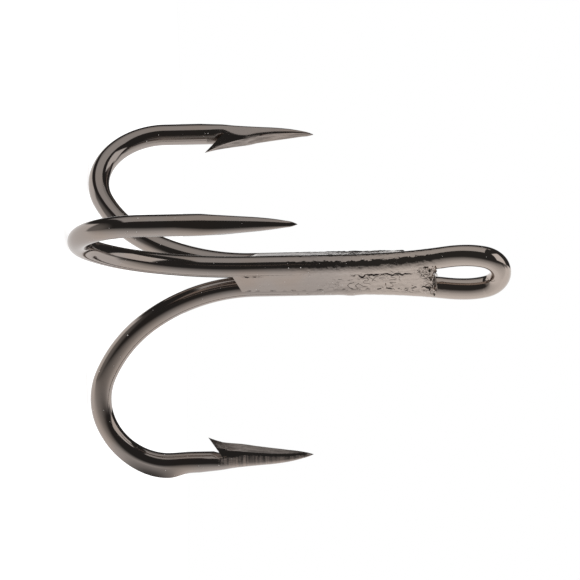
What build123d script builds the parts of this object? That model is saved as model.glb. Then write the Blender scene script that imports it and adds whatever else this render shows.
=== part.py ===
from build123d import *
import math
import os

os.makedirs("parts", exist_ok=True)

# A brazed treble fishing hook, in mm. The origin is the centre of the eye's
# opening, the shank runs down -Z from it, and the eye lies in the XZ plane.

# Wire
WIRE_D = 1.0
WIRE_R = WIRE_D / 2

# Eye, bent in the double hook's wire
EYE_HALF = 1.145        # widest half width of the eye, to the wire's centre
EYE_WIDEST_Z = 0.12
SHOULDER_R = 3.0
SHOULDER_DEG = 17.0
NECK_IN_R = 5.1         # the legs curve in below the widest point
NECK_OUT_R = 24.8       # and then run slowly together down the shank

# Shank: three wires, the single hook's lying in the valley of the other two
LEG_X = 0.66
SINGLE_Y = 0.81
SINGLE_TOP_Z = -2.7

# Hook bend: three arcs of falling radius, 180 degrees in all
BEND_R = (8.7, 6.7)
BEND_DEG = (35.0, 30.0, 115.0)
# Each hook: where its wire stands on the shank, the way it points, the height
# its bend starts at, the third arc's radius, and the straight length to the tip
HOOKS = {
    "left": {"x": -LEG_X, "y": 0, "azimuth_deg": 210.0, "bend_z": -9.8, "last_r": 3.1, "point_line": 7.04},
    "right": {"x": LEG_X, "y": 0, "azimuth_deg": 330.0, "bend_z": -9.68, "last_r": 3.1, "point_line": 6.8},
    "single": {"x": 0, "y": SINGLE_Y, "azimuth_deg": 90.0, "bend_z": -9.8, "last_r": 3.02, "point_line": 7.1},
}

# Point and barb. t is the distance back from the tip, n is measured from the
# wire's centre line towards the shank.
TAPER_T = 5.3
# station t, outer n, inner n, width across
POINT_STATIONS = (
    (5.05, -0.48, 0.50, 1.00),
    (4.7, -0.43, 0.53, 1.00),
    (4.0, -0.33, 0.62, 0.98),
    (2.6, -0.21, 0.52, 0.78),
    (1.1, -0.07, 0.44, 0.54),
    (0.4, 0.06, 0.37, 0.30),
    (0.0, 0.26, 0.30, 0.03),
)
BARB_TIP = (5.0, 1.22)
NOTCH = (4.10, 0.23)
NOTCH_FLOOR = (4.60, 0.47)   # the chisel leaves the wire's face here
# station t, width across of the flat raised facet
FACET_WIDTHS = ((5.0, 0.04), (4.4, 0.34), (3.6, 0.62), (2.4, 0.60), (1.0, 0.36), (0.05, 0.04))
# The barb's side outline from the notch forward to the tip, as (t, n)
BARB_ROOT = ((2.4, 0.10), (0.6, 0.15), (0.02, 0.28), (0.02, 0.31))
CUT_REACH = 1.6         # the cutter is longer than the barb's underside

# Braze alloy
BRAZE_R = 0.47          # how far the fillets reach from each wire's centre
WEB_FRONT_Y = -0.46
WEB_LOW_Z = -10.6
WEB_TOP_Z = -1.30
WEB_TOP_SAG = 0.22
WEB_BREAK_Z = -3.2      # the web's sides follow the legs in two straight runs
FILLET_LOW_Z = -10.0
FILLET_TOP_Z = -2.9


def bend_arcs(bend_z, last_r):
    """The three tangent arcs of a bend, and the point where the last one ends."""
    radii = (*BEND_R, last_r)
    arcs = []
    angle = 180.0
    centre = Vector(radii[0], bend_z)
    for i, (radius, sweep_deg) in enumerate(zip(radii, BEND_DEG)):
        if i:
            out = Vector(1, 0).rotate(Axis.Z, angle)
            centre = centre + out * (radii[i - 1] - radius)
        arcs.append(CenterArc((centre.X, centre.Y), radius, angle, sweep_deg))
        angle += sweep_deg
    return arcs, centre + Vector(last_r, 0)


class Hook:
    """One hook's own plane: local x points away from the shank, local y is +Z."""

    def __init__(self, x, y, azimuth_deg, bend_z, last_r, point_line):
        a = math.radians(azimuth_deg)
        outward, across = (math.cos(a), math.sin(a), 0), (math.sin(a), -math.cos(a), 0)
        self.plane = Plane(origin=(x, y, 0), x_dir=outward, z_dir=across)
        self.bend_z = bend_z
        self.arcs, bend_end = bend_arcs(bend_z, last_r)
        self.bend_end = (bend_end.X, bend_end.Y)
        self.tip_z = bend_end.Y + point_line

    def point_xy(self, t, n):
        """Local coordinates of a place on the point."""
        return (self.bend_end[0] - n, self.tip_z - t)

    def level(self, x, z):
        """The horizontal plane through a place of the hook's plane."""
        origin = self.plane.from_local_coords((x, z, 0))
        return Plane(origin=origin, x_dir=self.plane.x_dir, z_dir=(0, 0, 1))

    def edges(self, top_z):
        """Centre line from top_z on the shank to where the point tapers."""
        shank = Line((0, top_z), (0, self.bend_z))
        point_line = Line(self.bend_end, self.point_xy(TAPER_T, 0))
        return [self.plane * edge for edge in (shank, *self.arcs, point_line)]


def neck_angle():
    """Angle through which each leg leans out between the shank and the eye."""
    return math.acos(1 - (EYE_HALF - LEG_X) / (NECK_IN_R + NECK_OUT_R))


def neck_low_z():
    return EYE_WIDEST_Z - (NECK_IN_R + NECK_OUT_R) * math.sin(neck_angle())


def neck_edges():
    """Centre line of the right leg from the parallel shank up to the eye's widest point."""
    lean = math.degrees(neck_angle())
    outer = CenterArc((LEG_X + NECK_OUT_R, neck_low_z()), NECK_OUT_R, 180, -lean)
    inner = CenterArc((EYE_HALF - NECK_IN_R, EYE_WIDEST_Z), NECK_IN_R, -lean, lean)
    return [outer, inner]


def eye_edges():
    """Centre line of the whole eye in the XZ plane, both legs included."""
    b = math.radians(SHOULDER_DEG)
    top_r = (EYE_HALF - SHOULDER_R * (1 - math.cos(b))) / math.cos(b)
    shoulder_x = EYE_HALF - SHOULDER_R
    top_z = EYE_WIDEST_Z + (SHOULDER_R - top_r) * math.sin(b)
    shoulder = CenterArc((shoulder_x, EYE_WIDEST_Z), SHOULDER_R, 0, SHOULDER_DEG)
    crown = CenterArc((0, top_z), top_r, SHOULDER_DEG, 180 - 2 * SHOULDER_DEG)
    right = neck_edges() + [shoulder]
    left = [edge.mirror(Plane.YZ) for edge in right]
    upright = Plane(origin=(0, 0, 0), x_dir=(1, 0, 0), z_dir=(0, -1, 0))
    return [upright * edge for edge in (*right, crown, *left)]


def round_wire(edges, start_plane):
    """A round wire swept along tangent edges."""
    return sweep(start_plane * Circle(WIRE_R), path=Wire(edges))


def point_cone(hook):
    """The ground point: round at the wire, drawn in to a needle tip."""
    def section(t, outer_n, inner_n, width):
        middle = hook.point_xy(t, (outer_n + inner_n) / 2)
        return hook.level(*middle) * Ellipse((inner_n - outer_n) / 2, width / 2)
    start = section(TAPER_T, -WIRE_R, WIRE_R, WIRE_D)
    return loft([start] + [section(*station) for station in POINT_STATIONS])


def notch_cutter(hook):
    """The chisel's wedge, cut into the wire's inner face under the barb."""
    def beyond(end, reach):
        return [a + reach * (b - a) for a, b in zip(NOTCH, end)]
    corners = (NOTCH, beyond(BARB_TIP, CUT_REACH), beyond(NOTCH_FLOOR, 2))
    outline = Polygon(*[hook.point_xy(*corner) for corner in corners], align=None)
    return extrude(hook.plane * outline, WIRE_D, both=True)


def barb(hook):
    """The raised barb with its flat leaf-shaped facet, as two crossed prisms."""
    side = Polygon(*[hook.point_xy(*corner) for corner in (BARB_TIP, NOTCH, *BARB_ROOT)], align=None)
    right = [(w / 2, hook.tip_z - t) for t, w in FACET_WIDTHS]
    left = [(-x, z) for x, z in reversed(right)]
    origin = hook.plane.from_local_coords((hook.bend_end[0], 0, 0))
    leaf_plane = Plane(origin=origin, x_dir=hook.plane.z_dir, z_dir=-hook.plane.x_dir)
    leaf = extrude(leaf_plane * Polygon(*right, *left, align=None), 2 * WIRE_D)
    return extrude(hook.plane * side, WIRE_D, both=True) & leaf


def with_point(wire, hook):
    """Adds the tapered point and the barb to a swept wire."""
    body = wire + point_cone(hook)
    body = body - notch_cutter(hook)
    return body + barb(hook)


def double_hook_wire():
    """One wire: left point, bend, leg, eye, leg, bend, right point."""
    left, right = Hook(**HOOKS["left"]), Hook(**HOOKS["right"])
    low = neck_low_z()
    x, z = left.point_xy(TAPER_T, 0)
    start = Plane(origin=left.plane.from_local_coords((x, z, 0)), x_dir=(1, 0, 0), z_dir=(0, 0, -1))
    wire = round_wire(left.edges(low) + eye_edges() + right.edges(low), start)
    for hook in (left, right):
        wire = with_point(wire, hook)
    return wire


def single_hook_wire():
    """The third hook: its shank is cut off square below the eye."""
    hook = Hook(**HOOKS["single"])
    start = Plane(origin=(0, SINGLE_Y, SINGLE_TOP_Z), x_dir=(1, 0, 0), z_dir=(0, 0, -1))
    return with_point(round_wire(hook.edges(SINGLE_TOP_Z), start), hook)


def leg_x(z):
    """Where the right leg's centre is at a height on the shank or lower neck."""
    rise = max(0.0, z - neck_low_z())
    return LEG_X + NECK_OUT_R - math.sqrt(NECK_OUT_R ** 2 - rise ** 2)


def fillet_section(z):
    """Braze section round the three wires: the hull of three discs inside them."""
    centres = ((-leg_x(z), 0), (leg_x(z), 0), (0, SINGLE_Y))
    discs = [Pos(x, y) * Circle(BRAZE_R) for x, y in centres]
    edges = [edge for disc in discs for edge in disc.edges()]
    return Pos(0, 0, z) * make_hull(edges)


def web_blank():
    """Braze sheet between the two legs, its top edge sagging below the eye."""
    right = [(leg_x(z), z) for z in (WEB_TOP_Z, WEB_BREAK_Z, neck_low_z(), WEB_LOW_Z)]
    left = [(-x, z) for x, z in reversed(right)]
    sides = Polyline(*right, *left)
    edge = ThreePointArc(left[-1], (0, WEB_TOP_Z - WEB_TOP_SAG), right[0])
    upright = Plane(origin=(0, WEB_FRONT_Y, 0), x_dir=(1, 0, 0), z_dir=(0, -1, 0))
    return extrude(upright * make_face([*sides.edges(), edge]), WEB_FRONT_Y - BRAZE_R)


def braze_joint(wires):
    """The brazing alloy that fills the valleys between the three wires."""
    levels = (FILLET_LOW_Z, neck_low_z(), FILLET_TOP_Z)
    fillets = loft([fillet_section(z) for z in levels], ruled=True)
    alloy = web_blank() + fillets
    for wire in wires:
        alloy = alloy - wire
    return alloy


double = double_hook_wire()
single = single_hook_wire()
export_step(double, "parts/double_hook_wire.step")
export_step(single, "parts/single_hook_wire.step")
export_step(braze_joint((double, single)), "parts/braze_joint.step")
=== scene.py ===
import math

import bmesh
import bpy
import numpy as np
from mathutils import Matrix, Vector


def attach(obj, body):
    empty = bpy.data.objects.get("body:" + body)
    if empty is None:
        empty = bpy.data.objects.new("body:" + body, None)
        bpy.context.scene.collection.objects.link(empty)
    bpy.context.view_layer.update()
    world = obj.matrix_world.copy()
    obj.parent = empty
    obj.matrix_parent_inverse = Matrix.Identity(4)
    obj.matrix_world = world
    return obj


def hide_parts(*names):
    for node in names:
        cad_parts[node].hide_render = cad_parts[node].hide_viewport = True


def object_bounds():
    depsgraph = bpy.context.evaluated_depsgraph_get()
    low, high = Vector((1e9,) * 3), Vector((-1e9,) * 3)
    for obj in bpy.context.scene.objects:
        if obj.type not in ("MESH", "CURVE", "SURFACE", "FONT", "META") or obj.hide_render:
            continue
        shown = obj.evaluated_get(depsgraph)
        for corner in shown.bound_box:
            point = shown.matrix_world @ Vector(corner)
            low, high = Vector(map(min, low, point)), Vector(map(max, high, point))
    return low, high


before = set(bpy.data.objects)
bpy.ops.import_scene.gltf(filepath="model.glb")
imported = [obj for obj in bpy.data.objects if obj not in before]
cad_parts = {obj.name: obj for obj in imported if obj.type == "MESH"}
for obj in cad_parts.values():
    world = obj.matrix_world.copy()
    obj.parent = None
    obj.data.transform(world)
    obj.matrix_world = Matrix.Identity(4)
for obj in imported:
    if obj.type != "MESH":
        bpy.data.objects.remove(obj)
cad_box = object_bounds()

# ---------------------------------------------------------------- double hook
# One high-carbon steel wire. Its middle is bent round a mandrel into the eye,
# its two legs run down side by side, and each is bent out into a hook, ground
# to a needle point and chiselled for a barb. It is then black-nickel plated.
MM = 0.001
WIRE_MM = 0.5
WIRE_R = WIRE_MM * MM
LEG_X = 0.66 * MM
# Each hook's bend is three arcs. The last one's radius is the hook's own.
BEND_R, BEND_DEG = (8.7 * MM, 6.7 * MM), (35.0, 30.0, 115.0)
# The hooks differ a little, as hand-finished ones do: the height their bends
# start at, the last arc's radius, the straight length to the tip, how far the
# tip leans out (mm), how far the bend is swollen, how strongly the sides of
# the point are filed, the facet's slant and how many times steeper it is by
# the notch, and how much higher the facet was ground, in mm, at each LIFT_T.
# The barb is its tip's place back from the point's tip and in, the height of
# the hollow ahead of it, how far up it the facet's near edge comes out (1 is
# the tip), and how far the tip stands off the middle, in mm.
LIFT_T = (0.0, 0.6, 1.3, 2.0, 2.7, 3.5, 4.25, 4.95)
LEFT_HOOK = {"bend_z": -9.8 * MM, "last_r": 3.1 * MM, "point_line": 7.04 * MM,
             "lean": 0.0, "swollen": 0.0, "filing": 0.15, "slant": 0.0, "twist": 1.0,
             "lift": (0, 0, 0, 0, 0, 0, 0, 0),
             "barb": (5.03, 1.25, 0.97, 1.0, 0.0)}
RIGHT_HOOK = {"bend_z": -9.68 * MM, "last_r": 3.1 * MM, "point_line": 6.8 * MM,
              "lean": 0.0, "swollen": 0.15 * MM, "filing": 1.0, "slant": 0.28, "twist": 2.4,
              "lift": (0, 0.08, 0.085, 0.08, 0.075, 0.08, 0.06, 0),
              "barb": (4.93, 1.20, 1.05, 0.42, 0.05)}
SINGLE_HOOK = {"bend_z": -9.8 * MM, "last_r": 3.02 * MM, "point_line": 7.1 * MM,
               "lean": 0.10, "swollen": 0.0, "filing": 0.15, "slant": 0.0, "twist": 1.0,
               "lift": (0, -0.07, -0.095, -0.13, -0.125, -0.06, 0, 0),
               "barb": (5.15, 1.25, 0.99, 1.0, 0.0)}
ROW_STEP = 0.085 * MM

# The eye, from the crown down: shoulders, then a neck that turns in and out.
EYE_HALF = 1.145 * MM
EYE_WIDEST_Z = 0.12 * MM
SHOULDER_R, SHOULDER_DEG = 3.0 * MM, 17.0
NECK_IN_R, NECK_OUT_R = 5.1 * MM, 24.8 * MM

# Places round a ring: the inner share lies between the two corners of the
# chisel cut, and the flat facet is the middle of it.
CUT_CORNER = math.radians(49.0)
INNER_PLACES, OUTER_PLACES = 21, 35
FACET_SHARE = 0.4
inner_v = np.linspace(-1, 1, INNER_PLACES)
outer_w = np.arange(1, OUTER_PLACES + 1) / (OUTER_PLACES + 1)
ring_angle = np.concatenate([
    inner_v * CUT_CORNER,
    CUT_CORNER + outer_w * 2 * (math.pi - CUT_CORNER),
])

# The ground point's cross section, in mm, at each distance back from the tip.
# n is towards the shank and b is across.
POINT_T = (0, 0.25, 0.55, 1.05, 1.7, 2.6, 3.4, 3.9, 4.25, 4.95, 5.4)
OUTSIDE_N = (0.28, 0.19, 0.10, -0.02, -0.115, -0.185, -0.25, -0.31, -0.37, -0.45, -0.5)
MIDDLE_N = (0.285, 0.235, 0.19, 0.14, 0.10, 0.06, 0.03, 0.01, 0.0, 0.0, 0.0)
HALF_WIDTH = (0.012, 0.11, 0.16, 0.235, 0.305, 0.37, 0.425, 0.46, 0.49, 0.5, 0.5)
FACET_N = (0.30, 0.322, 0.34, 0.385, 0.465, 0.59, 0.715, 0.785, 0.86, 1.17, 1.17)
FACET_HALF = (0.006, 0.05, 0.08, 0.135, 0.185, 0.22, 0.23, 0.19, 0.15, 0.0, 0.0)
BEVEL_FALL = (0.004, 0.012, 0.025, 0.045, 0.07, 0.095, 0.14, 0.32, 0.532, 0.842, 0.842)

# The notch is chiselled from CUT_START_T down to CUT_T, and the wire is round
# and untouched from CLEAN_T on. The facet's hollow is measured at HOLLOW_T.
CUT_T, HOLLOW_T, CUT_START_T, CLEAN_T = 4.25, 4.6, 4.72, 5.6
BACK_ROWS, FLOOR_ROWS, UNDERSIDE_ROWS, HOLLOW_ROWS, FACET_ROWS, TIP_ROWS = 12, 6, 8, 10, 51, 13

# The sides of a point are filed ahead of FILED_FROM_T at the cut's corner,
# and FILED_SLANT less at the widest place.
FILED_FROM_T, FILED_SLANT, FILED_SOFT = 4.75, 0.5, 0.3

# The right hook's swollen bend fades over these lengths to either side of the
# point line's start, and is pressed flat to a depth below the wire.
SWELL_BEHIND, SWELL_AHEAD = 1.6 * MM, 0.62 * MM
PRESSED_T, PRESSED_SHARE = (5.9, 6.5, 9.0, 10.2), (0.0, 0.85, 0.85, 0.0)
PRESSED_B = -0.41 * MM
PRESSED_FROM, PRESSED_TO = math.radians(195), math.radians(264)


def bent_line(start, heading, runs, step):
    """Centre line of a bent wire in its own plane (out, up), and its heading.

    The heading changes evenly along each run, so it is a straight-line
    function of the length; the points are the running sum of short chords
    along (cos heading, sin heading), each shortened as a chord of its arc."""
    lengths = np.array([0.0] + [length for length, turn in runs])
    turns = np.array([0.0] + [turn for length, turn in runs])
    along = np.cumsum(lengths)
    count = max(2, int(round(along[-1] / step)) + 1)
    s = np.unique(np.concatenate([np.linspace(0, along[-1], count), along]))
    angle = heading + np.interp(s, along, np.cumsum(turns))
    middle, bend = (angle[1:] + angle[:-1]) / 2, np.diff(angle)
    chord = np.diff(s) * np.sinc(bend / (2 * np.pi))
    out = start[0] + np.concatenate([[0], np.cumsum(chord * np.cos(middle))])
    up = start[1] + np.concatenate([[0], np.cumsum(chord * np.sin(middle))])
    return out, up, angle


def through(x, stations, values):
    """A smooth cubic curve through stations (rising), with the slope at each
    taken from its neighbours."""
    xs, ys = np.array(stations, float), np.array(values, float)
    slope = np.gradient(ys, xs)
    x = np.clip(x, xs[0], xs[-1])
    i = np.clip(np.searchsorted(xs, x) - 1, 0, len(xs) - 2)
    h = xs[i + 1] - xs[i]
    u = (x - xs[i]) / h
    return ((2 * u**3 - 3 * u**2 + 1) * ys[i] + (u**3 - 2 * u**2 + u) * h * slope[i]
            + (3 * u**2 - 2 * u**3) * ys[i + 1] + (u**3 - u**2) * h * slope[i + 1])


def point_sections(t, hook):
    """Cross sections of the ground point, t back from the tip, in mm.

    Returns n and b for every place of the ring: a flat facet, two bevels down
    to the corners, and the rest of an ellipse round the outside, whose two
    halves differ in depth. A slant lowers the facet's near edge: n falls by
    the slant times the distance from the far edge, and more near the barb."""
    lift = through(t, LIFT_T, hook["lift"])
    n_out = through(t, POINT_T, OUTSIDE_N)
    n_mid = through(t, POINT_T, MIDDLE_N)
    half = through(t, POINT_T, HALF_WIDTH)
    n_facet = through(t, POINT_T, FACET_N) + lift
    facet = through(t, POINT_T, FACET_HALF)
    bevel = through(t, POINT_T, BEVEL_FALL) + lift * through(t, (2.7, 4.25, 5.4), (0.5, 1.0, 1.0))
    deep = (n_facet - bevel - n_mid) / math.cos(CUT_CORNER)
    corner_b = half * math.sin(CUT_CORNER)
    v = inner_v[None, :]
    side = np.clip((np.abs(v) - FACET_SHARE) / (1 - FACET_SHARE), 0, 1)
    flat = np.clip(v / FACET_SHARE, -1, 1)
    n_in = n_facet[:, None] - bevel[:, None] * side
    b_in = np.sign(v) * (corner_b - facet)[:, None] * side + facet[:, None] * flat
    phi = ring_angle[None, INNER_PLACES:]
    depth = np.where(np.cos(phi) > 0, deep[:, None], (n_mid - n_out)[:, None])
    n = np.hstack([n_in, n_mid[:, None] + depth * np.cos(phi)])
    b = np.hstack([b_in, half[:, None] * np.sin(phi)])

    more = hook["twist"] - 1
    facet_fall = through(t, (0, 0.3, 1.0, 2.6, 3.5, 4.25, 4.95, 5.4),
                         (0, 0.5, 1.0, 1 + 0.3 * more, 1 + 0.55 * more, 1 + more, 0, 0))
    corner_fall = through(t, (0, 0.3, 1.0, 3.0, 3.8, 4.25, 5.4), (0, 0.5, 1.0, 1.0, 1.0, 0, 0))
    beside = np.hstack([side, np.ones_like(phi)])
    fall = facet_fall[:, None] * (1 - beside) + corner_fall[:, None] * beside
    share = np.clip(np.cos(ring_angle) / math.cos(CUT_CORNER), 0, 1)[None, :]
    return n + hook["slant"] * fall * (b - facet[:, None]) * share, b


def point_rows(hook):
    """Rows of the point from the clean wire to the tip, as (t, n, b) in mm.

    Behind the notch the ring is the round wire, drawn in on its outer side.
    The inner places then run down the notch's floor to its bottom, back up
    the barb's underside to its tip, and forward along the facet, while the
    outer places go straight on; the rows between are straight mixes."""
    barb_t, barb_n, hollow_n, near_climb, off_middle = hook["barb"]
    outer = slice(INNER_PLACES, None)
    circle_n, circle_b = WIRE_MM * np.cos(ring_angle), WIRE_MM * np.sin(ring_angle)
    back_t = np.linspace(CLEAN_T, CUT_START_T, BACK_ROWS)
    n_section, b_section = point_sections(back_t, hook)
    n = np.broadcast_to(circle_n, n_section.shape).copy()
    b = np.broadcast_to(circle_b, n_section.shape).copy()
    n[:, outer], b[:, outer] = n_section[:, outer], b_section[:, outer]
    rows = [np.stack([back_t[:, None] + 0 * n, n, b], -1)]

    v = inner_v
    corner_n, corner_b = WIRE_MM * math.cos(CUT_CORNER), WIRE_MM * math.sin(CUT_CORNER)
    # the two key rings bow back from the cut on the outside of the wire
    bow = np.sin(math.pi * outer_w)

    def key_row(t_in, n_in, b_in, t_out):
        """One ring whose inner places are given, and whose outer places lie
        on the ground sections at their own distances from the tip."""
        n_out, b_out = point_sections(t_out, hook)
        places = np.arange(INNER_PLACES, len(ring_angle))
        pick = np.arange(len(t_out))
        inner = np.stack([t_in, n_in, b_in], -1)
        return np.concatenate([inner, np.stack([t_out, n_out[pick, places], b_out[pick, places]], -1)])

    bottom = key_row(CUT_T + 0 * v, corner_n + 0 * v, corner_b * v, CUT_T + 0.3 * bow)
    climb = np.interp(v, (-1, -FACET_SHARE, FACET_SHARE, 1), (0, near_climb, 1, 0))
    edge_b = np.where(v < FACET_SHARE, -1, 1) * corner_b * (1 - climb) + off_middle * climb
    edge = key_row(CUT_T + (barb_t - CUT_T) * climb, corner_n + (barb_n - corner_n) * climb,
                   edge_b, CUT_T + 0.15 * bow)
    n_full, b_full = point_sections(np.array([CUT_T]), hook)
    full = np.stack([CUT_T + 0 * n_full[0], n_full[0], b_full[0]], -1)
    corners = [0, INNER_PLACES - 1]
    full[corners, 1], full[corners, 2] = corner_n, (-corner_b, corner_b)

    for a, z, count in ((rows[0][-1], bottom, FLOOR_ROWS), (bottom, edge, UNDERSIDE_ROWS)):
        mix = np.linspace(0, 1, count + 1)[1:, None, None]
        rows.append(a[None] + (z - a)[None] * mix)
    # the facet's own hollow line runs from the barb's tip to the full section
    mix = np.linspace(0, 1, HOLLOW_ROWS + 1)[1:, None]
    ahead = edge[None] + (full - edge)[None] * mix[..., None]
    line_t, top_n = barb_t + (CUT_T - barb_t) * mix[:, 0], n_full[0].max()
    sag = through(line_t, (CUT_T, HOLLOW_T, barb_t), (top_n, hollow_n, barb_n))
    sag = sag - (barb_n + (top_n - barb_n) * mix[:, 0])
    ahead[:, :INNER_PLACES, 1] += sag[:, None] * climb[None, :]
    rows.append(ahead)
    forward_t = np.concatenate([np.linspace(CUT_T, 0.5, FACET_ROWS + 1)[1:],
                                np.linspace(0.5, 0, TIP_ROWS + 1)[1:]])
    n, b = point_sections(forward_t, hook)
    ease = np.exp(-(CUT_T - forward_t) / 0.15)[:, None]
    n = n + (full[None, :, 1] - n_full) * ease
    b = b + (full[None, :, 2] - b_full) * ease
    rows.append(np.stack([forward_t[:, None] + 0 * n, n, b], -1))
    return np.concatenate(rows) * MM


def flattened(n, b, share):
    """Presses a ring's near, outer quarter towards a flat face, by a share
    for each row: the face is the straight line from under the wire, at a
    depth of PRESSED_B, to the ring's place level with its centre."""
    u = np.clip((ring_angle - PRESSED_FROM) / (PRESSED_TO - PRESSED_FROM), 0, 1)
    at = [int(np.argmin(np.abs(ring_angle - end))) for end in (PRESSED_FROM, PRESSED_TO)]
    chosen = (np.abs(u - 0.5) < 0.5)[None, :] * share[:, None]
    line_n = n[:, at[0], None] * (1 - u) + n[:, at[1], None] * u
    line_b = PRESSED_B * (1 - u) + b[:, at[1], None] * u
    return n + (line_n - n) * chosen, b + (line_b - b) * chosen


def ground_marks(back_t, hook):
    """Two marks for every place of rows back_t from the tip: 1 on the facet,
    and the filing's strength on the sides of the point. The filed stretch
    starts further forward the further a place is below the cut's corner."""
    back_t = back_t[:, None]
    ahead_of_cut = (back_t < (hook["barb"][0] - 0.05) * MM) & (back_t > 0)
    facet = ahead_of_cut & (np.abs(ring_angle) <= CUT_CORNER * FACET_SHARE * 1.01)
    side = np.exp(-((np.abs(np.sin(ring_angle)) - 1) / 0.35) ** 2) * (ring_angle > CUT_CORNER)
    below_corner = (math.pi - CUT_CORNER - np.abs(ring_angle - math.pi)) / (math.pi / 2 - CUT_CORNER)
    starts = (FILED_FROM_T - FILED_SLANT * below_corner)[None, :] * MM
    filed = hook["filing"] * side[None, :] * np.clip((starts - back_t) / (FILED_SOFT * MM), 0, 1)
    return np.stack([facet + 0.0, filed], -1)


def hook_rows(base, azimuth_deg, top_z, hook):
    """Rows of one hook: (row, place, xyz and the two ground-surface marks).

    The centre line goes down the leg, round the three arcs and up the point
    line; each ring is the wire's circle carried along it without twisting.
    A swollen bend is pushed out by a bell curve of the length, and pressed."""
    point_line, swollen = hook["point_line"], hook["swollen"]
    az = math.radians(azimuth_deg)
    radial = np.array([math.cos(az), math.sin(az), 0.0])
    across = np.array([-math.sin(az), math.cos(az), 0.0])
    upward = np.array([0.0, 0.0, 1.0])
    arcs = zip((*BEND_R, hook["last_r"]), np.radians(BEND_DEG))
    runs = [(top_z - hook["bend_z"], 0.0)] + [(radius * turn, turn) for radius, turn in arcs]
    runs = runs + [(point_line - CLEAN_T * MM, 0.0)]
    out, up, angle = bent_line((0.0, top_z), -math.pi / 2, runs, ROW_STEP)
    s = np.concatenate([[0], np.cumsum(np.hypot(np.diff(out), np.diff(up)))])
    from_tip = s[-1] + CLEAN_T * MM - s
    n = np.broadcast_to(WIRE_R * np.cos(ring_angle), (len(s), len(ring_angle)))
    b = np.broadcast_to(WIRE_R * np.sin(ring_angle), n.shape)
    if swollen:
        behind = np.clip(from_tip - point_line, 0, None) / SWELL_BEHIND
        ahead = np.clip(point_line - from_tip, 0, None) / SWELL_AHEAD
        bulge = swollen * np.exp(-behind**2 - ahead**2)[:, None]
        n = n - bulge * (np.clip(-n / WIRE_R, 0, 1) + 0.3)
        n, b = flattened(n, b, through(from_tip / MM, PRESSED_T, PRESSED_SHARE))
    o = out[:, None] - n * np.sin(angle)[:, None]
    z = up[:, None] + n * np.cos(angle)[:, None]
    tip_rows = point_rows(hook)[1:]
    tip_rows[..., 1] -= hook["lean"] * MM * (1 - tip_rows[..., 0] / (CLEAN_T * MM)) ** 2
    o = np.vstack([o, out[-1] - tip_rows[..., 1]])
    z = np.vstack([z, up[-1] + CLEAN_T * MM - tip_rows[..., 0]])
    b = np.vstack([b, tip_rows[..., 2]])
    place = np.array([base[0], base[1], 0.0])
    rows = place + o[..., None] * radial + b[..., None] * across + z[..., None] * upward
    back_t = np.concatenate([np.full(len(s), CLEAN_T * MM), tip_rows[:, 0, 0]])
    return np.concatenate([rows, ground_marks(back_t, hook)], -1)


def grid_piece(name, rows):
    """A closed tube of four-sided faces over a grid of rings, its first and
    last rings closed by caps. Columns after xyz become named marks."""
    count, around = rows.shape[:2]
    index = np.arange(count * around).reshape(count, around)
    nxt = np.roll(index, -1, axis=1)
    quads = np.stack([index[:-1], index[1:], nxt[1:], nxt[:-1]], -1).reshape(-1, 4)
    mesh = bpy.data.meshes.new(name)
    caps = [index[-1][::-1].tolist(), index[0].tolist()]
    mesh.from_pydata(rows[..., :3].reshape(-1, 3).tolist(), [], quads.tolist() + caps)
    for column, mark in enumerate(("facet", "filed", "groove_shade")[:rows.shape[2] - 3]):
        layer = mesh.attributes.new(mark, "FLOAT", "POINT")
        layer.data.foreach_set("value", rows[..., 3 + column].ravel().astype(np.float32))
    return finished(name, mesh)


def finished(name, mesh, sharp_deg=32):
    """Welds doubles, points the faces outwards and marks sharp edges."""
    work = bmesh.new()
    work.from_mesh(mesh)
    bmesh.ops.remove_doubles(work, verts=work.verts, dist=2e-7)
    bmesh.ops.dissolve_degenerate(work, edges=work.edges, dist=2e-7)
    bmesh.ops.recalc_face_normals(work, faces=work.faces)
    work.to_mesh(mesh)
    work.free()
    mesh.polygons.foreach_set("use_smooth", np.ones(len(mesh.polygons), bool))
    mesh.set_sharp_from_angle(angle=math.radians(sharp_deg))
    mesh.update()
    piece = bpy.data.objects.new(name, mesh)
    bpy.context.scene.collection.objects.link(piece)
    return piece


def eye_rows():
    """Rows of the eye's right half in the XZ plane, from the crown's top down
    to the parallel leg: crown, shoulder, neck in, neck out. Each ring is the
    wire's circle, squeezed a little where the mandrel flattened it."""
    b = math.radians(SHOULDER_DEG)
    crown_r = (EYE_HALF - SHOULDER_R * (1 - math.cos(b))) / math.cos(b)
    crown_z = EYE_WIDEST_Z + (SHOULDER_R - crown_r) * math.sin(b) + crown_r
    lean = math.acos(1 - (EYE_HALF - LEG_X) / (NECK_IN_R + NECK_OUT_R))
    quarter = math.pi / 2 - b
    runs = [(crown_r * quarter, -quarter), (SHOULDER_R * b, -b),
            (NECK_IN_R * lean, -lean), (NECK_OUT_R * lean, lean)]
    x, z, angle = bent_line((0.0, crown_z), 0.0, runs, ROW_STEP)
    phi = ring_angle + math.radians(-30.0)
    s = np.linspace(0, 1, len(x))[:, None]
    squeeze = through(s, (0.0, 0.12, 0.35, 0.6, 1.0), (0.955, 0.975, 1.04, 1.02, 1.0))
    n, b = WIRE_R * np.cos(phi)[None, :] * squeeze, WIRE_R * np.sin(phi)[None, :] * (2 - squeeze)
    px = x[:, None] - n * np.sin(angle)[:, None]
    pz = z[:, None] + n * np.cos(angle)[:, None]
    return np.stack([px, b, pz, 0 * b, 0 * b], -1), z[-1]


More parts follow.
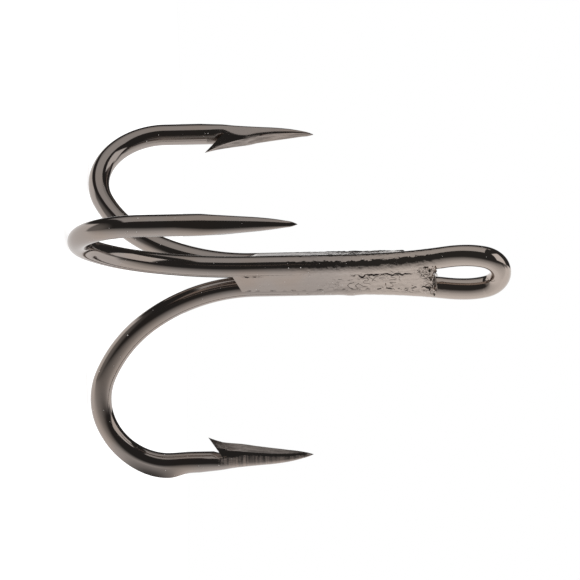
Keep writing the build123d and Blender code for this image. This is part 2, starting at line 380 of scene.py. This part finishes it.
def leg_centre(z):
    """Half the distance between the two legs at a height: constant, then the
    arc of the neck, LEG_X + R - sqrt(R^2 - rise^2)."""
    lean = math.acos(1 - (EYE_HALF - LEG_X) / (NECK_IN_R + NECK_OUT_R))
    low = EYE_WIDEST_Z - (NECK_IN_R + NECK_OUT_R) * math.sin(lean)
    rise = np.clip(z - low, 0, NECK_OUT_R * math.sin(lean))
    return LEG_X + NECK_OUT_R - np.sqrt(NECK_OUT_R**2 - rise**2)


def ripple(points, seed, wavelength, height, count=14):
    """Uneven height over a surface: a sum of sine waves in random directions,
    each shifted at random, of about one wavelength."""
    draw = np.random.default_rng(seed)
    waves = np.zeros(points.shape[:-1])
    for _ in range(count):
        direction = draw.normal(size=3)
        length = np.linalg.norm(direction) * wavelength * draw.uniform(0.6, 1.6)
        direction *= 2 * math.pi / length
        waves += np.sin(points @ direction + draw.uniform(0, 2 * math.pi))
    return waves * height / math.sqrt(count / 2)


# Heat roughened the double wire's legs less than the single wire's shank, and
# a drop of alloy froze on the outer front of each leg.
HEAT_RIPPLE, LEG_UNEVEN, SHANK_UNEVEN = (21, 0.3 * MM), 0.0014 * MM, 0.006 * MM
DROP_Z, DROP_LENGTH, DROP_HEIGHT = -5.25 * MM, 0.34 * MM, 0.045 * MM
DROP_SIDE = np.array([0.677, -0.736, 0])


def heat_uneven(rows, centre_x, centre_y, height):
    """Pushes a shank's surface in and out where the brazing heat reached it:
    a ripple, outwards from the wire's centre, fading at both ends, and a bell
    curve for the frozen drop."""
    points = rows[..., :3]
    z = points[..., 2]
    off_x, off_y = points[..., 0] - centre_x, points[..., 1] - centre_y
    reach = through(z / MM, (-8.6, -6.5, -1.6, -0.7), (0.0, 1.0, 1.0, 0.0)) * (z > -8.6 * MM)
    outward = np.stack([off_x, off_y, 0 * z], -1)
    outward /= np.linalg.norm(outward, axis=-1, keepdims=True) + 1e-9
    near_leg = np.exp(-((np.hypot(off_x, off_y) / WIRE_R - 1) / 0.2) ** 2)
    push = ripple(points, *HEAT_RIPPLE, height) * reach * near_leg
    drop = np.exp(-((z - DROP_Z) / DROP_LENGTH) ** 2) * np.clip(outward @ DROP_SIDE, 0, 1) ** 3
    push = push + DROP_HEIGHT * drop * near_leg * (centre_x > 0)
    pushed = rows.copy()
    pushed[..., :3] = points + outward * push[..., None]
    return pushed


def double_hook_rows():
    """The whole double wire: right half from the crown to the point, and the
    left half as its mirror image, joined at the crown."""
    eye, leg_z = eye_rows()

    def half(hook):
        """The eye's half and one hook, in the right half's place."""
        leg = hook_rows((LEG_X, 0.0), -30.0, leg_z, hook)
        joined = np.concatenate([eye[:-1], leg])
        return heat_uneven(joined, leg_centre(joined[..., 2]), 0.0, LEG_UNEVEN)

    left = half(LEFT_HOOK) * np.array([-1.0, 1.0, 1.0, 1.0, 1.0])
    return np.concatenate([left[::-1], half(RIGHT_HOOK)[1:]])


double_hook = grid_piece("double_hook", double_hook_rows())


def new_group(name, inputs, outputs):
    """An empty shader node group with named sockets: (name, kind, default)."""
    tree = bpy.data.node_groups.new(name, "ShaderNodeTree")
    for label, kind, default in inputs:
        socket = tree.interface.new_socket(name=label, in_out="INPUT", socket_type="NodeSocket" + kind)
        if default is not None:
            socket.default_value = default
    for label, kind in outputs:
        tree.interface.new_socket(name=label, in_out="OUTPUT", socket_type="NodeSocket" + kind)
    return tree, tree.nodes.new("NodeGroupInput"), tree.nodes.new("NodeGroupOutput")


def add_node(tree, kind, links=(), **settings):
    """A shader node with its settings and its input links or values.
    A link is (input, source socket), and a plain value goes straight in."""
    node = tree.nodes.new(kind)
    for key, value in settings.items():
        setattr(node, key, value)
    for socket, source in links:
        if isinstance(source, bpy.types.NodeSocket):
            tree.links.new(source, node.inputs[socket])
        else:
            node.inputs[socket].default_value = source
    return node


def math_node(tree, operation, a, b=None, clamp=False):
    """One arithmetic node's result."""
    links = [(0, a)] + ([(1, b)] if b is not None else [])
    return add_node(tree, "ShaderNodeMath", links, operation=operation, use_clamp=clamp).outputs[0]


def product(tree, first, *others):
    """The product of values."""
    for other in others:
        first = math_node(tree, "MULTIPLY", first, other)
    return first


def total(tree, first, *others, clamp=False):
    """The sum of values, kept between 0 and 1 if clamped."""
    for other in others:
        first = math_node(tree, "ADD", first, other, clamp)
    return first


def most(tree, first, *others):
    """The greatest of values."""
    for other in others:
        first = math_node(tree, "MAXIMUM", first, other)
    return first


def opposite(tree, value):
    """1 minus a value."""
    return math_node(tree, "SUBTRACT", 1.0, value)


def between(tree, value, low, high):
    """0 below low, 1 above high, and a smooth rise between them."""
    node = add_node(tree, "ShaderNodeMapRange",
                    [("Value", value), ("From Min", low), ("From Max", high)],
                    interpolation_type="SMOOTHSTEP")
    return node.outputs[0]


def mixed(tree, share, first, second):
    """The first colour, turning into the second as the share rises to 1."""
    links = [(0, share), (6, first), (7, second)]
    return add_node(tree, "ShaderNodeMix", links, data_type="RGBA").outputs[2]


def noise(tree, at, scale, detail, roughness=0.5, distortion=0.0):
    """A noise texture's value, with its scale in waves a metre."""
    links = [("Vector", at), ("Scale", scale), ("Detail", detail), ("Roughness", roughness),
             ("Distortion", distortion)]
    return add_node(tree, "ShaderNodeTexNoise", links).outputs[0]


# Dust: tiny light grains caught on the plating, at two sizes. Each size is
# cells a metre, a grain's radius in cells, and its share of the amount.
DUST_SIZES = ((5200.0, 0.16, 1.0), (11000.0, 0.2, 0.8))
dust, dust_in, dust_out = new_group(
    "dust", [("Position", "Vector", None), ("Amount", "Float", 0.3)], [("Mask", "Float")])
grains = []
for grain_scale, grain_size, grain_share in DUST_SIZES:
    cells = add_node(dust, "ShaderNodeTexVoronoi",
                     [("Vector", dust_in.outputs["Position"]), ("Scale", grain_scale)])
    chance = add_node(dust, "ShaderNodeSeparateColor", [("Color", cells.outputs["Color"])]).outputs[0]
    keep = math_node(dust, "LESS_THAN", chance, product(dust, dust_in.outputs["Amount"], grain_share))
    spot = opposite(dust, between(dust, cells.outputs["Distance"], grain_size * 0.6, grain_size))
    grains.append(product(dust, spot, keep))
dust.links.new(most(dust, *grains), dust_out.inputs[0])

# Plating texture: fine orange peel everywhere, and blisters and creases where
# the heat of brazing roughened the surface. Scales are waves a metre.
PEEL_SCALE, BLISTER_SCALE, FOLD_SCALE, PATCH_SCALE = 2600.0, 5200.0, 2900.0, 900.0
PEEL_HEIGHT, BLISTER_HEIGHT, CREASE_DEPTH = 0.03, 1.15, 0.45
plating, plating_in, plating_out = new_group(
    "plating", [("Position", "Vector", None), ("Heat", "Float", 0.0), ("Creases", "Float", 1.0)],
    [("Height", "Float"), ("CrinkleShade", "Float")])
skin_place, skin_heat, skin_creases = plating_in.outputs[:3]
peel = noise(plating, skin_place, PEEL_SCALE, 3.0, 0.6)
blister = noise(plating, skin_place, BLISTER_SCALE, 1.0, 0.5)
folds = noise(plating, skin_place, FOLD_SCALE, 2.5, 0.6, 0.8)
ridge = math_node(plating, "ABSOLUTE", math_node(plating, "SUBTRACT", folds, 0.52))
fold_lines = opposite(plating, between(plating, ridge, 0.0, 0.022))
in_patch = between(plating, noise(plating, skin_place, PATCH_SCALE, 1.0), 0.47, 0.56)
# the crease lines sink the height, and leave the group as the mask where shade is painted into the creases
crinkle = product(plating, fold_lines, in_patch, product(plating, skin_heat, skin_creases))
height = total(plating, product(plating, peel, PEEL_HEIGHT),
               product(plating, blister, product(plating, skin_heat, BLISTER_HEIGHT)))
height = math_node(plating, "SUBTRACT", height, product(plating, crinkle, CREASE_DEPTH))
plating.links.new(height, plating_out.inputs["Height"])
plating.links.new(crinkle, plating_out.inputs["CrinkleShade"])

# The plating is greyer low on the shank and lighter towards the eye.
NICKEL = (0.352, 0.307, 0.281, 1.0)
NICKEL_WARM = (0.362, 0.290, 0.243, 1.0)
NICKEL_LIGHT = (0.458, 0.390, 0.345, 1.0)
LIGHT_FROM_Z, LIGHT_TO_Z = -6.9 * MM, -3.5 * MM
# painted shade: the near-black mixed into the crease lines and into the braze's grooves and seams; it is also
# the dark of the facets' grinding streaks
SHADE_AND_STREAK_COLOUR = (0.03, 0.026, 0.022, 1.0)
DUST_COLOUR = (0.72, 0.69, 0.66, 1.0)
FILED_COLOUR = (0.46, 0.37, 0.32, 1.0)
RELIEF = 0.03 * MM


def plated_material(name, roughness, heat_low, heat_high, heat_gain, creases, dust_amount, warm_share):
    """Black nickel over metal. `heat_low` and `heat_high` are the heights
    between which the brazing heat roughened and creased the plating."""
    material = bpy.data.materials.new(name)
    material.use_nodes = True
    tree = material.node_tree
    tree.nodes.clear()
    place = add_node(tree, "ShaderNodeTexCoord").outputs["Object"]
    x, y, z = add_node(tree, "ShaderNodeSeparateXYZ", [("Vector", place)]).outputs
    rise = between(tree, z, heat_low - 1.6 * MM, heat_low + 1.2 * MM)
    fall = opposite(tree, between(tree, z, heat_high - 0.5 * MM, heat_high + 1.1 * MM))
    out = math_node(tree, "SQRT", total(tree, product(tree, x, x), product(tree, y, y)))
    near_shank = opposite(tree, between(tree, out, 2.0 * MM, 2.6 * MM))
    heat = product(tree, product(tree, rise, fall), product(tree, near_shank, heat_gain))
    skin = add_node(tree, "ShaderNodeGroup", node_tree=plating)
    tree.links.new(place, skin.inputs["Position"])
    tree.links.new(heat, skin.inputs["Heat"])
    skin.inputs["Creases"].default_value = creases
    dusting = add_node(tree, "ShaderNodeGroup", node_tree=dust)
    tree.links.new(place, dusting.inputs["Position"])
    tree.links.new(total(tree, product(tree, heat, 0.10), dust_amount), dusting.inputs["Amount"])
    specks = dusting.outputs["Mask"]

    def stretched(across, lengthways, detail):
        """Noise of so many waves a metre across the hook and along it."""
        at = add_node(tree, "ShaderNodeVectorMath", [(0, place), (1, (across, across, lengthways))],
                      operation="MULTIPLY").outputs[0]
        return noise(tree, at, 1.0, detail, 0.7)

    def mark(label):
        """One of the marks that the mesh carries."""
        return add_node(tree, "ShaderNodeAttribute", attribute_name=label).outputs["Fac"]

    # grinding marks: stripes across the sides of the points, and streaks
    # along their facets
    facet, filed, groove_shade = mark("facet"), mark("filed"), mark("groove_shade")
    stripes = product(tree, filed, between(tree, stretched(500.0, 13000.0, 1.0), 0.34, 0.66))
    streaks = product(tree, facet, between(tree, stretched(5200.0, 700.0, 3.0), 0.36, 0.64))
    pale = product(tree, stripes, 0.75)

    tone = noise(tree, place, 420.0, 2.0)
    warm = product(tree, between(tree, tone, 0.42, 0.66), warm_share)
    colour = mixed(tree, warm, NICKEL, NICKEL_WARM)
    colour = mixed(tree, between(tree, z, LIGHT_FROM_Z, LIGHT_TO_Z), colour, NICKEL_LIGHT)
    # painted shade: the crease lines and the braze's grooves and seams are darkened towards near-black; the
    # facets' grinding streaks are real marks darkened with the same colour
    dark = most(tree, product(tree, skin.outputs["CrinkleShade"], 0.75), product(tree, streaks, 0.45),
                product(tree, groove_shade, 0.9))
    colour = mixed(tree, dark, colour, SHADE_AND_STREAK_COLOUR)
    colour = mixed(tree, pale, colour, FILED_COLOUR)
    colour = mixed(tree, specks, colour, DUST_COLOUR)
    metallic = math_node(tree, "SUBTRACT", opposite(tree, specks), product(tree, pale, 0.55), clamp=True)
    rough = total(tree, product(tree, tone, 0.05), roughness - 0.025,
                  product(tree, most(tree, filed, product(tree, facet, 0.4)), 0.38))
    rough = total(tree, rough, product(tree, specks, 0.5), clamp=True)
    lift = total(tree, skin.outputs["Height"], product(tree, most(tree, stripes, streaks), 0.16),
                 product(tree, specks, 0.17))
    bump = add_node(tree, "ShaderNodeBump", [("Height", lift), ("Strength", 1.0), ("Distance", RELIEF)])
    shader = add_node(tree, "ShaderNodeBsdfPrincipled",
                      [("Base Color", colour), ("Roughness", rough), ("Normal", bump.outputs[0]),
                       ("Metallic", metallic)])
    add_node(tree, "ShaderNodeOutputMaterial", [("Surface", shader.outputs[0])])
    return material


wire_plating = plated_material("black_nickel_wire", roughness=0.09, heat_low=-7.6 * MM, heat_high=-1.5 * MM,
                               heat_gain=0.75, creases=0.15, dust_amount=0.03, warm_share=0.5)
double_hook.data.materials.append(wire_plating)
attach(double_hook, "root")
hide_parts("double_hook_wire")

# ---------------------------------------------------------------- single hook
# The third hook, of the same plated wire. Its shank lies in the valley at the
# back of the double hook's legs and is cut off square below the eye.
SINGLE_Y = 0.81 * MM
SINGLE_TOP_Z = -2.7 * MM
CUT_ROUND = 0.12 * MM


def single_hook_rows():
    """A hook whose shank starts with a cut end: a few rings that round the
    cut's rim, a quarter circle, from its centre out to the full wire."""
    body = hook_rows((0.0, SINGLE_Y), 90.0, SINGLE_TOP_Z - CUT_ROUND, SINGLE_HOOK)
    body = heat_uneven(body, 0.0, SINGLE_Y, SHANK_UNEVEN)
    centre = np.array([0.0, SINGLE_Y, 0.0, 0.0, 0.0])
    first = (body[0] - centre) * np.array([1, 1, 0, 0, 0])
    rim = np.linspace(0, math.pi / 2, 6)[1:-1]
    inset = CUT_ROUND / WIRE_R
    shrink = np.concatenate([[0.02, 0.3, 0.6], 1 - inset + inset * np.sin(rim)])
    drop = np.concatenate([[0, 0, 0], CUT_ROUND * (1 - np.cos(rim))])
    cap = centre + first[None] * shrink[:, None, None]
    cap[..., 2] = (SINGLE_TOP_Z - drop)[:, None]
    return np.concatenate([cap, body])


single_hook = grid_piece("single_hook", single_hook_rows())
single_hook.data.materials.append(wire_plating)
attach(single_hook, "root")
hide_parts("single_hook_wire")

# ---------------------------------------------------------------- braze
# Brazing alloy, melted into the valleys between the three wires so that they
# hold together, and plated over with them. It lies almost flush in front, has
# a crisp lower end, and is crinkled and pitted towards the eye.
BRAZE_LOW_Z, BRAZE_TOP_Z = -10.5 * MM, -1.22 * MM
FINE_FROM_Z = -6.2 * MM
FRONT_Y = -0.49 * MM
# how far out the sides lie from the wires' centres, beside the single wire
# and above its cut end, and where the one turns into the other
SIDE_REACH, BARE_REACH = 0.49 * MM, 0.30 * MM
SINGLE_END_Z, SINGLE_END_SOFT = -2.5 * MM, 0.10 * MM
FRONT_CROWN, LOW_END_SLANT, TOP_SAG, TOP_UNEVEN = 0.012 * MM, 0.24 * MM, 0.25 * MM, 0.035 * MM
LOW_ROWS, TOP_ROWS, FRONT_PLACES, SIDE_PLACES = 90, 210, 120, 45
# seams, creases and their heights, in mm
FAR_SEAM_X, NEAR_SEAM_X = -0.48, 0.49
GROOVE_DEPTH, LUMP_HEIGHT, GLINT_HEIGHT = 0.04, 0.05, 0.03
SHORT_WAVE, LONG_WAVE = 0.004, 0.006
# the uneven skin's ripples, each a seed and a wavelength
SHORT_WAVES, LONG_WAVES = (5, 0.34 * MM), (9, 0.9 * MM)
FOLDS, FOLD_PATCHES = (14, 0.36 * MM), (33, 0.9 * MM)
SEAM_WANDER, SEAM_BREAKS = (3, 0.19 * MM), (8, 0.4 * MM)
ROOT_LUMPS, GLINTS, TOP_EDGE = (17, 0.22 * MM), (41, 0.16 * MM), (27, 0.3 * MM)


def crease(height, width):
    """1 on the lines where an uneven height crosses zero, 0 away from them."""
    return np.exp(-((height / width) ** 2))


def braze_outline(z):
    """Rings up the shank at heights z, as x and y. Each is a triangle round
    the three wires' centres: a nearly flat front and two straight sides,
    parallel to the lines between two wires' centres, that fall away to the
    eye's root above the single wire's cut end."""
    leg = leg_centre(z)[:, None]
    fade = 1 / (1 + np.exp((z - SINGLE_END_Z) / SINGLE_END_SOFT))[:, None]
    back_y = SINGLE_Y * fade + BARE_REACH * (1 - fade)
    u = np.linspace(-1, 1, FRONT_PLACES + 1)[None, :-1]
    size = np.hypot(leg, back_y)
    nx, ny = back_y / size, leg / size
    v = np.linspace(0, 1, SIDE_PLACES + 1)[None, :-1]
    low_end = np.clip((z - BRAZE_LOW_Z) / (0.9 * MM), 0, 1)[:, None]
    reach = BARE_REACH + (SIDE_REACH - BARE_REACH) * fade * low_end
    x = np.concatenate([leg * u, leg + nx * reach - leg * v, -(nx * reach) - leg * v], 1)
    y = np.concatenate([FRONT_Y + FRONT_CROWN * (1 - u**2) + 0 * leg,
                        ny * reach + back_y * v, ny * reach + back_y * (1 - v)], 1)
    return x, y


def braze_heights(z, x, y):
    """The rings' places up the shank: the lower end is cut on a slant, and
    the upper one sags between the legs in a parabola and is a little uneven."""
    end = 1 - np.clip((z - BRAZE_LOW_Z) / (0.8 * MM), 0, 1)[:, None]
    top = np.clip((z - (BRAZE_TOP_Z - 0.5 * MM)) / (0.5 * MM), 0, 1)[:, None]
    heights = z[:, None] + end * LOW_END_SLANT * np.clip(x / (0.66 * MM), -1, 1)
    heights = heights - top * TOP_SAG * (1 - np.clip(x / (0.62 * MM), -1, 1) ** 2)
    return heights + top * ripple(np.stack([x, y, 0 * x], -1), *TOP_EDGE, TOP_UNEVEN)


def braze_rows():
    """The braze's rings with their uneven skin, as xyz and three marks.

    The skin is pushed out by long waves, by lumps at the eye's root and by
    small glints at the lower end, and in along the creases and two seams."""
    z = np.concatenate([np.linspace(BRAZE_LOW_Z, FINE_FROM_Z, LOW_ROWS),
                        np.linspace(FINE_FROM_Z, BRAZE_TOP_Z, TOP_ROWS)[1:]])
    x, y = braze_outline(z)
    heights = braze_heights(z, x, y)
    points = np.stack([x, y, heights], -1)
    z_mm, x_mm = heights / MM, x / MM
    on_front = (y < FRONT_Y + 0.05 * MM) * 1.0

    hot = through(z_mm, (-6.6, -5.4, -2.0, -1.2), (0.0, 0.75, 1.0, 1.6))
    waves = ripple(points, *SHORT_WAVES, 1.0) * SHORT_WAVE + ripple(points, *LONG_WAVES, 1.0) * LONG_WAVE
    folds = ripple(points, *FOLDS, 1.0)
    patches = np.clip(ripple(points, *FOLD_PATCHES, 1.0) * 1.8 - 0.1, 0, 1)
    root = np.clip((z_mm + 2.3) / 0.85, 0, 1)
    creased = crease(folds, 0.08) * np.maximum(patches, root) * hot

    wander = ripple(np.stack([heights, 0 * heights, 0 * heights], -1), *SEAM_WANDER, 1.0)
    bold = through(z_mm, (-4.3, -3.6), (1.0, 0.45))
    far_seam = crease(x_mm - FAR_SEAM_X - (0.03 + 0.045 * bold) * wander, 0.026 + 0.02 * bold)
    far_seam = far_seam * through(z_mm, (-5.3, -5.0, -2.6, -2.2), (0, 1, 1, 0.3))
    broken = np.clip(ripple(points * np.array([0, 0, 1.0]), *SEAM_BREAKS, 1.0) * 2, 0, 1)
    near_seam = crease(x_mm - NEAR_SEAM_X - 0.03 * wander, 0.024) * broken
    grooves = np.maximum(creased * 0.9, np.maximum(far_seam, near_seam * 0.9) * on_front)

    lumps = ripple(points, *ROOT_LUMPS, 1.0) * root**2 * LUMP_HEIGHT
    glint = np.abs(ripple(points, *GLINTS, GLINT_HEIGHT)) * crease(x_mm - FAR_SEAM_X, 0.04)
    glint = glint * on_front * through(z_mm, (-10.3, -10.1, -9.5, -9.2), (0.0, 1.0, 1.0, 0.0))
    push = (waves * (0.12 + hot) - GROOVE_DEPTH * grooves + lumps + glint) * MM
    outward = points - np.array([0, 0.25 * MM, 0])
    outward[..., 2] = 0
    outward /= np.linalg.norm(outward, axis=-1, keepdims=True) + 1e-12
    straight = np.array([0, -1.0, 0])
    outward = outward + (straight - outward) * on_front[..., None]
    # the third mark is the mask where shade is painted into the creases, grooves and seams
    marks = np.stack([0 * x, 0 * x, np.clip(grooves, 0, 1) ** 2], -1)
    return np.concatenate([points + outward * push[..., None], marks], -1)


def braze_piece(name, rings):
    """The braze as a closed tube whose two ends are drawn in to flat caps."""
    middle_low, middle_top = rings[0].mean(0), rings[-1].mean(0)
    shrink = np.array([0.03, 0.35, 0.7])[:, None, None]
    low = middle_low + (rings[0][None] - middle_low) * shrink
    top = middle_top + (rings[-1][None] - middle_top) * shrink[::-1]
    return grid_piece(name, np.concatenate([low, rings, top]))


braze = braze_piece("braze", braze_rows())
braze_plating = plated_material("black_nickel_braze", roughness=0.13, heat_low=-6.2 * MM, heat_high=-0.6 * MM,
                                heat_gain=0.6, creases=1.0, dust_amount=0.045, warm_share=0.6)
braze.data.materials.append(braze_plating)
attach(braze, "root")
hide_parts("braze_joint")

# ---------------------------------------------------------------- studio
# A white table and background, one long soft light over the hook, and the dark
# room behind the camera, which is what the plating mirrors.
FLOOR_R = 60 * MM
floor_z = cad_box[0][2] - 0.01 * MM
turn = np.linspace(0, 2 * math.pi, 129)[:-1]
rim = np.stack([FLOOR_R * np.cos(turn), FLOOR_R * np.sin(turn), floor_z + 0 * turn], -1)
floor_mesh = bpy.data.meshes.new("floor")
floor_mesh.from_pydata(rim.tolist(), [], [list(range(len(turn)))])
floor = bpy.data.objects.new("floor", floor_mesh)
bpy.context.scene.collection.objects.link(floor)
white = bpy.data.materials.new("white_table")
white.use_nodes = True
paint = white.node_tree.nodes["Principled BSDF"]
for socket, value in (("Base Color", (0.9, 0.9, 0.9, 1)), ("Roughness", 0.9),
                      ("Emission Color", (1, 1, 1, 1)), ("Emission Strength", 0.8)):
    paint.inputs[socket].default_value = value
floor_mesh.materials.append(white)
floor.visible_glossy = False

# camera: level with the hook's middle, 0.24 m away, turned on its side so that
# the shank lies across the frame with the eye at the right
CAMERA_POLAR = math.radians(222.64)
CAMERA_RISE = math.radians(3.386)
CAMERA_ROLL = math.radians(1.12)
CAMERA_AWAY = 235.5 * MM
FRAME_WIDTH = 26.976744 * MM
SENSOR_WIDTH = 36
AIM_Z = -8.07 * MM
AIM_BELOW = 0.6635 * MM
AIM_BACK = 0.037 * MM
towards = Vector((math.cos(CAMERA_POLAR), math.sin(CAMERA_POLAR), 0))
frame_up = Vector((math.cos(CAMERA_POLAR - math.pi / 2), math.sin(CAMERA_POLAR - math.pi / 2), 0))
axis = Vector((0, 0, 1))
level_right = math.cos(CAMERA_RISE) * axis - math.sin(CAMERA_RISE) * towards
back = math.sin(CAMERA_RISE) * axis + math.cos(CAMERA_RISE) * towards
right = math.cos(CAMERA_ROLL) * level_right - math.sin(CAMERA_ROLL) * frame_up
above = math.sin(CAMERA_ROLL) * level_right + math.cos(CAMERA_ROLL) * frame_up
aim = axis * AIM_Z - frame_up * AIM_BELOW - towards * AIM_BACK
camera_data = bpy.data.cameras.new("camera")
camera_data.sensor_width = SENSOR_WIDTH
camera_data.lens = SENSOR_WIDTH * CAMERA_AWAY / FRAME_WIDTH
camera_data.clip_start = 0.005
camera_data.clip_end = 20
camera = bpy.data.objects.new("camera", camera_data)
bpy.context.scene.collection.objects.link(camera)
turned = Matrix((right, above, back)).transposed().to_4x4()
camera.matrix_world = Matrix.Translation(aim + back * CAMERA_AWAY) @ turned
bpy.context.scene.camera = camera

world = bpy.data.worlds.new("studio")
bpy.context.scene.world = world
world.use_nodes = True
sky = world.node_tree
sky.nodes.clear()
ray = add_node(sky, "ShaderNodeTexCoord").outputs["Generated"]


def along(direction):
    """How far a ray goes along a direction."""
    links = [(0, ray), (1, tuple(direction))]
    return add_node(sky, "ShaderNodeVectorMath", links, operation="DOT_PRODUCT").outputs["Value"]


def ramp(share, stops):
    """Brightness along a share of 0 to 1, from (degrees, brightness) stops
    with 0 at -180 degrees and 1 at 180."""
    node = add_node(sky, "ShaderNodeValToRGB", [("Fac", share)])
    points = node.color_ramp.elements
    while len(points) < len(stops):
        points.new(0.5)
    for point, (degrees, level) in zip(points, stops):
        point.position = (degrees + 180) / 360
        point.color = (level, level, level, 1)
    return node.outputs[0]


def inside(value, low, high, soft):
    """1 between low and high, with soft edges of that width."""
    enter = between(sky, value, low - soft / 2, low + soft / 2)
    leave = between(sky, value, high - soft / 2, high + soft / 2)
    return math_node(sky, "SUBTRACT", enter, leave, clamp=True)


# Directions are an angle round the shank, 0 towards the camera and 90 degrees
# up the frame, and a rise along it.
up_part, near_part, rise = along(frame_up), along(towards), along(axis)
round_angle = math_node(sky, "ARCTAN2", up_part, near_part)

# The white table wraps round from under the hook to behind it, and darkens
# towards the camera. Its edge leans with the height of the ray.
TABLE_LEAN, TABLE_END_DARKENS = 0.25, 0.75
TABLE_LEVELS = ((-180, 1.0), (-103, 1.0), (-85, 0.86), (-65, 0.73), (-50, 0.5), (-38, 0.36),
                (-29, 0.20), (-21, 0.06), (-8, 0.0), (180, 0.0))
leaned = total(sky, round_angle, product(sky, math_node(sky, "ARCSINE", rise), TABLE_LEAN))
leaned = most(sky, leaned, -math.pi)
table = ramp(total(sky, math_node(sky, "DIVIDE", leaned, 2 * math.pi), 0.5), TABLE_LEVELS)
beyond_eye = between(sky, rise, 0.86, 0.97)
table = product(sky, table, opposite(sky, product(sky, TABLE_END_DARKENS, beyond_eye)))
edge = total(sky, up_part, product(sky, rise, 0.5))
behind = product(sky, opposite(sky, between(sky, edge, 0.20, 0.32)),
                 opposite(sky, between(sky, near_part, -0.12, 0.10)))

# the long soft light over the hook, and a broad bright one beyond the eye
OVER_FROM, OVER_TO, OVER_LEVEL = math.radians(47), math.radians(116), 0.64
DIM_FROM, DIM_TO, DIM_SHARE = math.radians(92), math.radians(106), 0.3
over = product(sky, inside(rise, -0.44, 0.46, 0.06),
               product(sky, inside(round_angle, OVER_FROM, OVER_TO, 0.06), OVER_LEVEL))
dimmed = product(sky, DIM_SHARE, between(sky, round_angle, DIM_FROM, DIM_TO))
over = product(sky, over, opposite(sky, dimmed))
ahead = most(sky, rise, 0.01)
flat_up, flat_near = (math_node(sky, "DIVIDE", part, ahead) for part in (up_part, near_part))
beyond = product(sky, inside(flat_up, -0.05, 0.87, 0.08), inside(flat_near, -0.26, 0.58, 0.08))

# a dim glow below the bends, and the dark room's own faint light
UNDER_LEVEL, ROOM_LEVEL = 0.30, 0.042
under = product(sky, between(sky, product(sky, rise, -1.0), 0.6, 1.0), UNDER_LEVEL)
brightness = most(sky, table, behind, over, beyond, under, ROOM_LEVEL)
from_camera = add_node(sky, "ShaderNodeLightPath").outputs["Is Camera Ray"]
seen = mixed(sky, from_camera, brightness, (1, 1, 1, 1))
light = add_node(sky, "ShaderNodeBackground", [("Color", seen), ("Strength", 1.0)])
add_node(sky, "ShaderNodeOutputWorld", [("Surface", light.outputs[0])])
bpy.context.scene.view_settings.view_transform = "Standard"
